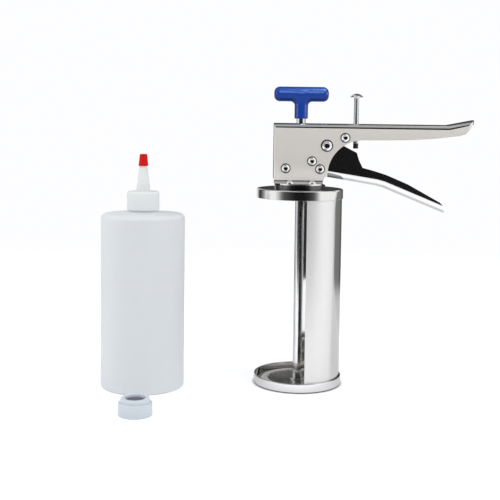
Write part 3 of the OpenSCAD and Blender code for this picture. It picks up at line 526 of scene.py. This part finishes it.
# --- Cap and pad
# The cap is pressed like a shallow lid and slips over the top of the shell. A turned pad,
# blackened and glossy, lies on it and spreads the load of the housing's feet.
_, cap_out, cap_low, cap_top = turned_size("top_cap")
cap_bend, bush_hole_r, soft_edge = 1.4, 7.0, 0.2
cap_outline = (
    [(bush_hole_r, cap_top - wall), (cap_out - cap_bend, cap_top - wall)]
    + arc(cap_out - cap_bend, cap_top - cap_bend, cap_bend - wall, 90, 0)[1:]
    + [(cap_out - wall, cap_low + soft_edge), (cap_out - wall + soft_edge, cap_low),
       (cap_out - soft_edge, cap_low), (cap_out, cap_low + soft_edge)]
    + arc(cap_out - cap_bend, cap_top - cap_bend, cap_bend, 0, 90)
    + [(bush_hole_r, cap_top)])
smooth(solid("pressed_cap", turned(cap_outline), [mirror_steel], "frame",
             ["top_cap"]))
_, pad_out, pad_low, pad_top = turned_size("foot_pad")
pad_outline = [
    (bush_hole_r, pad_low), (pad_out - soft_edge, pad_low), (pad_out, pad_low + soft_edge),
    (pad_out, pad_top - 0.6), (pad_out - 0.15, pad_top - 0.25), (pad_out - 0.6, pad_top),
    (bush_hole_r, pad_top)]
black_steel = steel("black_steel", (0.13, 0.13, 0.135), 0.14, 0.05, 0.04)
smooth(solid("turned_pad", turned(pad_outline), [black_steel], "frame",
             ["foot_pad"]))

# --- Housing
# Housing and handle are one folded sheet of 1.5 mm stainless. The flat sides keep the satin
# of a fine belt, while bends, web, feet and tip are buffed bright, as are the cut edges.
def eased(name, node, width):
    """A merged copy of a sheet piece whose cut edges are broken by a small round, in mm."""
    mesh = nodes[node].data.copy()
    mesh.materials.clear()
    bm = bmesh.new()
    bm.from_mesh(mesh)
    bmesh.ops.remove_doubles(bm, verts=bm.verts, dist=2e-6)
    bmesh.ops.dissolve_degenerate(bm, edges=bm.edges, dist=1e-6)
    bm.to_mesh(mesh)
    bm.free()
    piece = bpy.data.objects.new(name, mesh)
    bpy.context.scene.collection.objects.link(piece)
    bevel = piece.modifiers.new("broken_edges", "BEVEL")
    bevel.width = width * mm
    bevel.segments = 2
    bevel.limit_method = "ANGLE"
    bevel.angle_limit = math.radians(28)
    bevelled = plain_mesh(piece)
    piece.modifiers.clear()
    piece.data = bevelled
    smooth(piece, 50)
    weighted = piece.modifiers.new("flat_faces_lead", "WEIGHTED_NORMAL")
    weighted.keep_sharp = True
    weighted.weight = 90
    made = plain_mesh(piece)
    bpy.data.objects.remove(piece)
    made.name = name
    return made


def painted_light_shifts(material, shades):
    """Paints light and shade into the satin's colour: rows of (axis, from, to, colour it shifts
    to), in mm.
    """
    tree = material.node_tree
    by_type = {node.type: node for node in tree.nodes}
    axes = add(tree, "ShaderNodeSeparateXYZ", (-900, 600))
    tree.links.new(by_type["TEX_COORD"].outputs["Object"], axes.inputs[0])
    colour = by_type["MIX"].outputs["Result"]
    for k, (axis, start, end, painted_tone) in enumerate(shades):
        way = between(tree, axes.outputs[axis], start * mm, end * mm, at=(-700, 600 + 250 * k),
                      kind="SMOOTHSTEP")
        colour = blended(tree, way, colour, painted_tone, (-200 + 200 * k, 450))
    feed(tree, by_type["BSDF_PRINCIPLED"], [("Base Color", colour)])


sheet_edge, foot_bend = 0.25, 4.5
satin_steel = steel("satin_steel", (0.715, 0.685, 0.645), 0.46, 0.05, 0.05, 700.0,
                    (0.04, 1, 1), metallic=0.45, contrast=0.02)
buffed_steel = steel("buffed_steel", (0.88, 0.875, 0.86), 0.11, 0.03, 0.03)
# Painted light and shade on the satin: darker towards the handle as painted shade, lighter towards
# the feet as a painted reflection of the cap, and lighter again towards the top as painted light.
painted_light_shifts(satin_steel, [
    ("X", 25, 70, (0.675, 0.645, 0.605)), ("Z", 222, 206, (0.92, 0.89, 0.845)),
    ("Z", 238, 256, (0.73, 0.70, 0.66))])
housing = solid("folded_housing", eased("folded_housing", "housing", sheet_edge),
                [satin_steel, buffed_steel], "frame", ["housing"])
for face in housing.data.polygons:
    upright = abs(face.normal.z) < 0.06 and face.center.z > (pad_top + foot_bend) * mm
    face.material_index = 0 if upright and abs(face.normal.x) < 0.52 else 1

# --- Rivets
# Four snap rivets hold the feet, and five pins with spun heads go through the housing. A
# pin's end is domed by a spinning tool, which leaves a small pit in its middle.
def scatter_group():
    """Copies of one part on given points, each tilted and scaled by its point."""
    group, taken = new_tree("set_on_points", [("Part", "Object", None)], on_geometry=True)
    part = add(group, "GeometryNodeObjectInfo", (-600, -200), transform_space="RELATIVE")
    feed(group, part, [("Object", taken.outputs["Part"])])
    tilt, girth = [add(group, "GeometryNodeInputNamedAttribute", (-600, y),
                       data_type="FLOAT_VECTOR") for y in (-420, -600)]
    tilt.inputs["Name"].default_value = "tilt"
    girth.inputs["Name"].default_value = "girth"
    copies = add(group, "GeometryNodeInstanceOnPoints", (-200, 0))
    feed(group, copies, [
        ("Points", taken.outputs["Geometry"]), ("Instance", part.outputs["Geometry"]),
        ("Rotation", tilt.outputs["Attribute"]), ("Scale", girth.outputs["Attribute"])])
    end_tree(group, taken, copies.outputs[0])
    return group


set_on_points = scatter_group()


def point_cloud(name, rows):
    """A mesh of loose points with a tilt and a girth, from rows of (place, tilt, girth)."""
    mesh = bpy.data.meshes.new(name)
    mesh.from_pydata([Vector(row[0]) * mm for row in rows], [], [])
    for key, column in [("tilt", 1), ("girth", 2)]:
        layer = mesh.attributes.new(key, "FLOAT_VECTOR", "POINT")
        layer.data.foreach_set("vector", [x for row in rows for x in row[column]])
    return mesh


def set_parts(name, outline, rows, materials, body, stands_for, steps=40):
    mesh = bpy.data.meshes.new(name + "_blank")
    bm = turned(outline, steps)
    bm.to_mesh(mesh)
    bm.free()
    blank = bpy.data.objects.new(name + "_blank", mesh)
    bpy.context.scene.collection.objects.link(blank)
    made = run_tree(name, set_on_points, {"Part": blank, "Material": materials[0]},
                    point_cloud(name + "_points", rows))
    bpy.data.objects.remove(blank)
    return smooth(solid(name, made, materials, body, stands_for), 40)


def dome(top, r, h, end=90, steps=10):
    """The outline of a round head that is h high and has the radius r at its foot, in mm."""
    ball = (r ** 2 + h ** 2) / (2 * h)
    return arc(0, top - ball, ball, math.degrees(math.asin((ball - h) / ball)), end, steps)


rivet_steel = steel("rivet_steel", (0.92, 0.92, 0.92), 0.04, 0.02, 0.02)
head_r, head_h, shank_r, tail_r = 3.9, 3.3, 2.0, 3.0
(_, _, tail_z), (rivets_x, rivets_y, head_top) = corners("foot_rivets")
under_head = head_top - head_h
rivet_outline = [(r if r > 1e-4 else 0, z) for r, z in (
    [(0, tail_z + 0.1), (tail_r, tail_z + 0.1), (tail_r, cap_top - wall), (shank_r, cap_top - wall),
     (shank_r, under_head), (head_r - 0.15, under_head)]
    + dome(head_top, head_r, head_h))]
set_parts("foot_rivet_set", rivet_outline,
          [((sx * (rivets_x - head_r), sy * (rivets_y - head_r), 0), (0, 0, 0), (1, 1, 1))
           for sx in (-1, 1) for sy in (-1, 1)],
          [rivet_steel], "frame", ["foot_rivets"])

# The outline of a pin's end, upwards from the side plate: a foot ring painted dark as painted
# shade, cone, rim, and the pit.
side_y, shade_ring_from = 11.5, 3.85
pin_outline = [
    (0, -11.0), (2.5, -11.0), (2.5, 0.0), (4.74, 0.0), (4.8, 0.06), (4.75, 0.24), (4.5, 0.36),
    (4.15, 0.52), (shade_ring_from, 0.7), (3.4, 1.06), (2.9, 1.46), (2.6, 1.72), (2.4, 1.86),
    (2.25, 1.9), (2.14, 1.84), (2.05, 1.5), (1.95, 1.36), (1.7, 1.32), (0.8, 1.29), (0, 1.28)]
pins = {"guide_pin": 1, "holding_pawl_pin": 1, "rest_stop_pin": 1, "squeeze_stop_pin": 1,
        "trigger_pin": 1.25}
pins_at = []
for name, girth in pins.items():
    low, high = corners(name)
    pins_at.append(((low[0] + high[0]) / 2, (low[2] + high[2]) / 2, girth))
# The foot ring of each outer pin head is near black: painted shade where the head meets the plate.
pin_shade_steel = steel("pin_shade_steel", (0.03, 0.03, 0.03), 0.35, 0.06, 0.05)
spun_pins = set_parts("spun_pin_set", pin_outline,
                      [((x, side * side_y, z), (-side * math.pi / 2, 0, 0), (g, g, 1))
                       for x, z, g in pins_at for side in (-1, 1)],
                      [rivet_steel, pin_shade_steel], "frame", list(pins), 48)
for face in spun_pins.data.polygons:
    spot = face.center / mm
    out = min(math.hypot(spot.x - x, spot.z - z) / g for x, z, g in pins_at)
    face.material_index = 1 if out > shade_ring_from and abs(spot.y) > side_y else 0

# --- Trigger
# The trigger is folded like the handle, from the same sheet, and buffed bright all over. It
# hangs on the large pin, with a spacer bush between its walls and a small pin for the pawl.
trigger_steel = steel("trigger_steel", (0.88, 0.88, 0.88), 0.05, 0.03, 0.02)
solid("folded_trigger", eased("folded_trigger", "trigger", sheet_edge), [trigger_steel],
      "trigger", ["trigger"])

# --- Ratchet
# Hardened pawls, their springs, the stop sleeve and the rod's guides sit inside the housing.
# They are left as machined, oiled, and darker than the sheet around them.
def finish(names, material):
    """Gives CAD nodes whose shape is right their material."""
    for name in names:
        nodes[name].data.materials.clear()
        nodes[name].data.materials.append(material)


def plastic(name, colour, shade, gloss, grain, bump, sheer=0.0, radius=(1, 1, 1), deep=0.004,
            haze=0.10, sheen=0.5):
    """Moulded plastic: a faint orange peel and slight clouding of the colour."""
    material = bpy.data.materials.new(name)
    tree = tree_of(material)
    place = add(tree, "ShaderNodeTexCoord", (-1000, 0))
    _, body = polished(tree, place.outputs["Object"], gloss, haze, haze / 2, grain, bump)
    clouding = add(tree, "ShaderNodeTexNoise", (-700, 300))
    feed(tree, clouding, [("Scale", 22), ("Detail", 3), ("Vector", place.outputs["Object"])])
    feed(tree, body, [
        ("Base Color", blended(tree, clouding.outputs["Fac"], colour, shade, (-350, 250))),
        ("IOR", 1.5), ("Specular IOR Level", sheen)])
    if sheer:
        feed(tree, body, [("Subsurface Weight", sheer), ("Subsurface Radius", radius),
                          ("Subsurface Scale", deep)])
    return material


machined_steel = steel("machined_steel", (0.42, 0.42, 0.43), 0.25, 0.10, 0.12, 1500.0)
spring_steel = steel("spring_steel", (0.30, 0.30, 0.31), 0.22, 0.08, 0.10, 2000.0)
guide_resin = plastic("guide_resin", (0.78, 0.77, 0.73), (0.72, 0.71, 0.68), 0.40, 700, 0.1)
finish(["rod_bush", "rod_guide"], guide_resin)
finish(["rest_stop_sleeve", "trigger_bush", "drive_pawl_pin", "holding_pawl", "drive_pawl"],
       machined_steel)
finish(["screw_nut"], buffed_steel)
finish(["trigger_spring", "holding_pawl_spring", "drive_pawl_spring"], spring_steel)

# --- Plunger and rod
# The rod is a ground bar with ratchet teeth cut along one side. A thin nut clamps the
# pressed push plate and a washer against the shoulder at its foot.
rod_steel = steel("rod_steel", (0.86, 0.86, 0.86), 0.08, 0.03, 0.05, 1400.0, (1, 1, 0.05))
plate_steel = steel("plate_steel", (0.84, 0.83, 0.81), 0.22, 0.04, 0.05)
plate_rim_steel = steel("plate_rim_steel", (0.80, 0.78, 0.75), 0.30, 0.08, 0.05, metallic=0.45)
finish(["push_rod", "rod_nut"], rod_steel)
finish(["plate_washer"], plate_steel)
_, plate_out, plate_low, plate_top = turned_size("push_plate")
disc, rim_bend, sink, step_r, rod_hole_r = 1.0, 1.5, 0.8, 29.5, 2.6
bend_x, bend_z, sunk = plate_out - rim_bend, plate_top - rim_bend, plate_top - sink
plate_outline = (
    [(rod_hole_r, sunk - disc), (step_r + 0.5, sunk - disc), (step_r + 0.5, plate_top - disc),
     (bend_x, plate_top - disc)]
    + arc(bend_x, bend_z, rim_bend - disc, 90, 0, 4)[1:]
    + [(plate_out - disc, plate_low), (plate_out, plate_low), (plate_out, bend_z)]
    + arc(bend_x, bend_z, rim_bend, 0, 90, 6)[1:]
    + [(step_r, plate_top)] + arc(step_r, plate_top - 0.5, 0.5, 90, 180, 4)[1:]
    + arc(step_r - 0.8, sunk + 0.3, 0.3, 0, -90, 4)[1:] + [(rod_hole_r, sunk)])
push_plate = smooth(solid("pressed_plate", turned(plate_outline),
                          [plate_steel, plate_rim_steel], "plunger",
                          ["push_plate"]))
for face in push_plate.data.polygons:
    face.material_index = 1 if from_axis(face) > step_r + 0.4 else 0

# The plate is faced on a lathe, and the fine rings that this leaves spread its highlights.
turned_metal = next(n for n in plate_steel.node_tree.nodes if n.type == "BSDF_PRINCIPLED")
round_about = add(plate_steel.node_tree, "ShaderNodeTangent", (-350, -500),
                  direction_type="RADIAL", axis="Z")
feed(plate_steel.node_tree, turned_metal, [("Anisotropic", 0.8),
                                           ("Tangent", round_about.outputs[0])])

# --- T-handle
# Moulded blue T-handle, pressed on the rod. The bar has rounded ends and runs into the stem
# with a soft fillet, and the surface has the even gloss of an injection moulding.
(_, _, stem_low), (bar_half, bar_r, t_top) = corners("t_handle")
bar_z = t_top - bar_r
end_r, stem_r, stem_edge, fillet = 5.5, 6.6, 0.8, 4.2


def t_distance(p):
    """Distance in mm to the T's skin, with a round fillet where stem and bar meet."""
    x, y, z = p
    along = abs(x) - (bar_half - end_r)
    across = math.hypot(y, z - bar_z) - (bar_r - end_r)
    bar = math.hypot(max(along, 0), max(across, 0)) + min(max(along, across), 0) - end_r
    out = math.hypot(x, y) - (stem_r - stem_edge)
    down = max(stem_low + stem_edge - z, z - bar_z)
    stem = math.hypot(max(out, 0), max(down, 0)) + min(max(out, down), 0) - stem_edge
    if bar > fillet or stem > fillet:
        return min(bar, stem)
    return max(fillet, min(bar, stem)) - math.hypot(max(fillet - bar, 0), max(fillet - stem, 0))


bm = bmesh.new()
for radius, length, middle, lie in [
        (bar_r, 2 * bar_half, bar_z, Matrix.Rotation(math.pi / 2, 4, "Y")),
        (stem_r, bar_z - stem_low, (bar_z + stem_low) / 2, Matrix())]:
    bmesh.ops.create_cone(bm, cap_ends=True, segments=64, radius1=radius * mm,
                          radius2=radius * mm, depth=length * mm,
                          matrix=Matrix.Translation((0, 0, middle * mm)) @ lie)
rough_mesh = bpy.data.meshes.new("t_blank")
bm.to_mesh(rough_mesh)
bm.free()
blank = bpy.data.objects.new("t_blank", rough_mesh)
bpy.context.scene.collection.objects.link(blank)
skin = blank.modifiers.new("skin", "REMESH")
skin.mode = "VOXEL"
skin.voxel_size = 0.55 * mm
t_mesh = plain_mesh(blank)
bpy.data.objects.remove(blank)
t_mesh.name = "moulded_t"
probe = 0.02
for vertex in t_mesh.vertices:
    p = vertex.co / mm
    for step in range(4):
        d = t_distance(p)
        slope = Vector([t_distance(p + Vector([probe * (k == j) for k in range(3)])) - d
                        for j in range(3)])
        if slope.length > 1e-9:
            p = p - slope.normalized() * d
    vertex.co = p * mm
blue_plastic = plastic("blue_plastic", (0.001, 0.027, 0.175), (0.001, 0.024, 0.155), 0.25, 1200,
                       0.02, haze=0.03, sheen=0.25)
t_handle = smooth(solid("moulded_t", t_mesh, [blue_plastic], "rod",
                        ["t_handle"]), 50)

# --- Adjusting screw
# A long screw with a mushroom head goes through the web and its nut. Its thread is rolled
# over the whole shank, and a dark plastic tip on its end meets the trigger without a clink.
def thread_group():
    group, taken = new_tree("rolled_thread", [
        ("Core radius", "Float", 0.0021), ("Crest radius", "Float", 0.0026),
        ("Pitch", "Float", 0.0008), ("Low", "Float", 0.24), ("High", "Float", 0.285)])
    size = taken.outputs
    tall = maths(group, "SUBTRACT", size["High"], size["Low"], (-1100, 200))
    depth = maths(group, "SUBTRACT", size["Crest radius"], size["Core radius"], (-1100, -200))
    ridge = maths(group, "MULTIPLY", depth, 0.62, (-900, -200))
    path_r = maths(group, "SUBTRACT", size["Crest radius"], ridge, (-700, -200))
    helix = add(group, "GeometryNodeCurveSpiral", (-500, 200))
    feed(group, helix, [
        ("Resolution", 24), ("Rotations", maths(group, "DIVIDE", tall, size["Pitch"], (-900, 200))),
        ("Start Radius", path_r), ("End Radius", path_r), ("Height", tall)])
    tooth = add(group, "GeometryNodeCurvePrimitiveCircle", (-500, -100), mode="RADIUS")
    feed(group, tooth, [("Resolution", 8), ("Radius", ridge)])
    ridged = add(group, "GeometryNodeCurveToMesh", (-250, 100))
    feed(group, ridged, [("Fill Caps", True), ("Curve", helix.outputs[0]),
                         ("Profile Curve", tooth.outputs["Curve"])])
    core = add(group, "GeometryNodeMeshCylinder", (-500, -350))
    feed(group, core, [("Vertices", 48), ("Radius", size["Core radius"]), ("Depth", tall)])
    half = maths(group, "MULTIPLY", tall, 0.5, (-700, -500))
    raised = placed(group, core.outputs["Mesh"], half, (-250, -350))
    joined = add(group, "GeometryNodeJoinGeometry", (0, 0))
    for part in (raised, ridged.outputs[0]):
        group.links.new(part, joined.inputs[0])
    end_tree(group, taken, placed(group, joined.outputs[0], size["Low"], (200, 0)))
    return group


screw_steel = steel("screw_steel", (0.90, 0.90, 0.90), 0.10, 0.04, 0.05, 1500.0)
screw_at, mushroom_r, screw_low, screw_top = turned_size("adjusting_screw")
mushroom_h, shank_out = 3.4, 2.6
head_z = screw_top - mushroom_h
bm = bmesh.new()
bm.from_mesh(run_tree("rolled_thread", thread_group(), {
    "Core radius": 2.48 * mm, "Crest radius": shank_out * mm, "Pitch": 0.8 * mm,
    "Low": screw_low * mm, "High": (head_z - 0.6) * mm, "Material": screw_steel}))
bmesh.ops.translate(bm, verts=bm.verts, vec=(screw_at[0] * mm, 0, 0))
mushroom = turned(
    [(0, head_z - 1.2), (shank_out - 0.2, head_z - 1.2), (shank_out, head_z - 0.5),
     (shank_out + 0.4, head_z), (mushroom_r - 0.2, head_z)]
    + dome(screw_top, mushroom_r, mushroom_h, 89.5), 64, screw_at)
head_mesh = bpy.data.meshes.new("head")
mushroom.to_mesh(head_mesh)
mushroom.free()
bm.from_mesh(head_mesh)
smooth(solid("mushroom_screw", bm, [screw_steel], "screw", ["adjusting_screw"]), 40)
black_plastic = plastic("black_plastic", (0.012, 0.012, 0.013), (0.02, 0.02, 0.02), 0.35, 1500,
                        0.1)
finish(["screw_tip"], black_plastic)

# --- Bottle
# Blown from milky polyethylene a good millimetre thick, which lets light through but no
# image. The foot is cut open for the follower, and its edge turns in to a smooth lip.
milky = plastic("milky_polyethylene", (0.74, 0.775, 0.80), (0.72, 0.755, 0.785), 0.40, 500,
                0.04, 0.55, (1.0, 1.0, 1.0), 0.006, sheen=0.12)
bottle_at, outer_r, _, neck_top = turned_size("bottle")
blown_wall, lip, mouth, shoulder_r, shoulder_z, collar_top = 1.1, 2.5, 36.4, 3.6, 169.1, 172.8
neck_r, finish_r, bore_r = 14.0, 12.7, 11.2
corner_r, corner_z = outer_r - shoulder_r, shoulder_z - shoulder_r
bottle_outline = (
    [(mouth, 0.05), (mouth + 0.2, 0.0), (outer_r - lip, 0.0)]
    + arc(outer_r - lip, lip, lip, -90, 0, 10)[1:]
    + [(outer_r, 60.0), (outer_r, 110.0), (outer_r, corner_z)]
    + arc(corner_r, corner_z, shoulder_r, 0, 86, 10)[1:]
    + [(34.0, 169.3), (28.0, 169.75), (21.0, 170.3), (16.2, 170.75), (14.6, 170.95),
       (14.15, 171.3), (neck_r, 171.8), (neck_r, collar_top), (finish_r, collar_top),
       (finish_r, neck_top), (bore_r, neck_top), (bore_r, 172.0), (12.9, 170.2), (16.2, 169.6),
       (21.0, 169.2), (28.0, 168.65), (34.0, 168.2)]
    + arc(corner_r, corner_z, shoulder_r - blown_wall, 86, 0, 8)
    + [(outer_r - blown_wall, 110.0), (outer_r - blown_wall, 60.0)]
    + arc(outer_r - lip, lip, lip - blown_wall, 0, -90, 8)
    + [(mouth + 0.2, blown_wall), (mouth, blown_wall - 0.05)])
bottle = smooth(solid("blown_bottle", turned(bottle_outline, 192, bottle_at), [milky], "bottle",
                      ["bottle"]), 40)
white_plastic = plastic("white_plastic", (0.74, 0.76, 0.765), (0.71, 0.73, 0.74), 0.36, 700,
                        0.05, 0.3, (1, 1, 1), 0.003)
finish(["follower", "cap_seal"], white_plastic)

# --- Nozzle
# Screw cap and long spout are one moulding of the same plastic as the bottle, a little
# greener. The spout tapers to its tip, where the small red cap is pushed on.
nozzle_plastic = plastic("nozzle_plastic", (0.72, 0.74, 0.735), (0.70, 0.72, 0.715), 0.36,
                         700, 0.05, 0.4, (1, 1, 1), 0.003, sheen=0.15)
_, nozzle_r, nozzle_low, spout_top = turned_size("nozzle_cap")
top_edge, roof, roof_under, skirt_in, spout_bore = 1.4, 17.9, 16.3, 12.8, 1.2
nozzle_outline = [(r, nozzle_low + h) for r, h in (
    [(nozzle_r - 0.3, 0), (nozzle_r, 0.3), (nozzle_r, roof - top_edge)]
    + arc(nozzle_r - top_edge, roof - top_edge, top_edge, 0, 90, 8)[1:]
    + [(7.4, roof), (6.95, 18.0), (6.75, 18.3), (6.7, 20.9), (6.55, 21.6), (2.45, 52.6),
       (2.1, spout_top - nozzle_low), (spout_bore, spout_top - nozzle_low), (spout_bore, 51.1),
       (5.4, 20.9), (5.4, roof_under), (skirt_in, roof_under), (skirt_in, 0)])]
nozzle_cap = smooth(solid("moulded_nozzle", turned(nozzle_outline, 96, bottle_at),
                          [nozzle_plastic], "nozzle", ["nozzle_cap"]), 40)
red_plastic = plastic("red_plastic", (0.58, 0.004, 0.002), (0.52, 0.003, 0.002), 0.28, 1500,
                      0.05, sheen=0.15)
_, tip_r, tip_low, tip_top = turned_size("tip_cap")
tip_h, tip_roof = tip_top - tip_low, 0.85
tip_outline = [(r, tip_low + h) for r, h in (
    [(4.05, 0), (tip_r - 0.1, 0), (tip_r, 0.15), (tip_r, 0.8), (4.6, 1.2), (3.62, 10.7),
     (3.35, 11.2), (2.9, tip_h), (0, tip_h), (0, tip_h - tip_roof), (2.55, tip_h - tip_roof)])]
tip_cap = smooth(solid("red_tip", turned(tip_outline, 64, bottle_at), [red_plastic], "tip_cap",
                       ["tip_cap"]), 40)

# --- Spare cap
# A short screw cap with a raised ring, moulded like the nozzle cap. A soft grey disc with a
# cross slit sits in its opening, held from below by a ring.
spare_plastic = plastic("spare_plastic", (0.57, 0.615, 0.655), (0.55, 0.595, 0.635), 0.34, 700,
                        0.05, 0.35, (1, 1, 1), 0.003, sheen=0.25)
spare_at, spare_r, _, spare_top = turned_size("spare_cap")
ring_r, ring_in, opening_r, spare_edge, skirt_top, spare_in = 13.0, 11.3, 9.3, 1.2, 11.6, 13.5
spare_outline = (
    [(spare_in, 0.0), (spare_r - 0.3, 0.0), (spare_r, 0.3), (spare_r, skirt_top - spare_edge)]
    + arc(spare_r - spare_edge, skirt_top - spare_edge, spare_edge, 0, 90, 6)[1:]
    + [(ring_r + 0.4, skirt_top), (ring_r + 0.1, skirt_top + 0.1), (ring_r, skirt_top + 0.4),
       (ring_r, spare_top - spare_edge)]
    + arc(ring_r - spare_edge, spare_top - spare_edge, spare_edge, 0, 90, 6)[1:]
    + [(opening_r + 0.4, spare_top), (opening_r + 0.1, spare_top - 0.15),
       (opening_r, spare_top - 0.5), (opening_r, 12.8), (ring_in, 12.8), (ring_in, 9.9),
       (spare_in, 9.9)])
spare_cap = smooth(solid("spare_screw_cap", turned(spare_outline, 96, spare_at),
                         [spare_plastic], "spare_cap", ["spare_cap"]), 40)
valve_rubber = plastic("valve_rubber", (0.115, 0.10, 0.14), (0.10, 0.09, 0.125), 0.5, 900, 0.1)
finish(["spare_valve"], valve_rubber)
finish(["spare_valve_ring"], spare_plastic)

# --- Lamps and pieces
# The blue handle gets the lamps that serve it alone, and every milky piece is left out of
# the light of the top softbox.
blue_pieces.objects.link(t_handle)
for piece in (bottle, nozzle_cap, tip_cap, spare_cap, nodes["spare_valve_ring"]):
    milky_pieces.objects.link(piece)
for row in milky_pieces.collection_objects:
    row.light_linking.link_state = "EXCLUDE"
bpy.context.scene.view_settings.view_transform = "Standard"
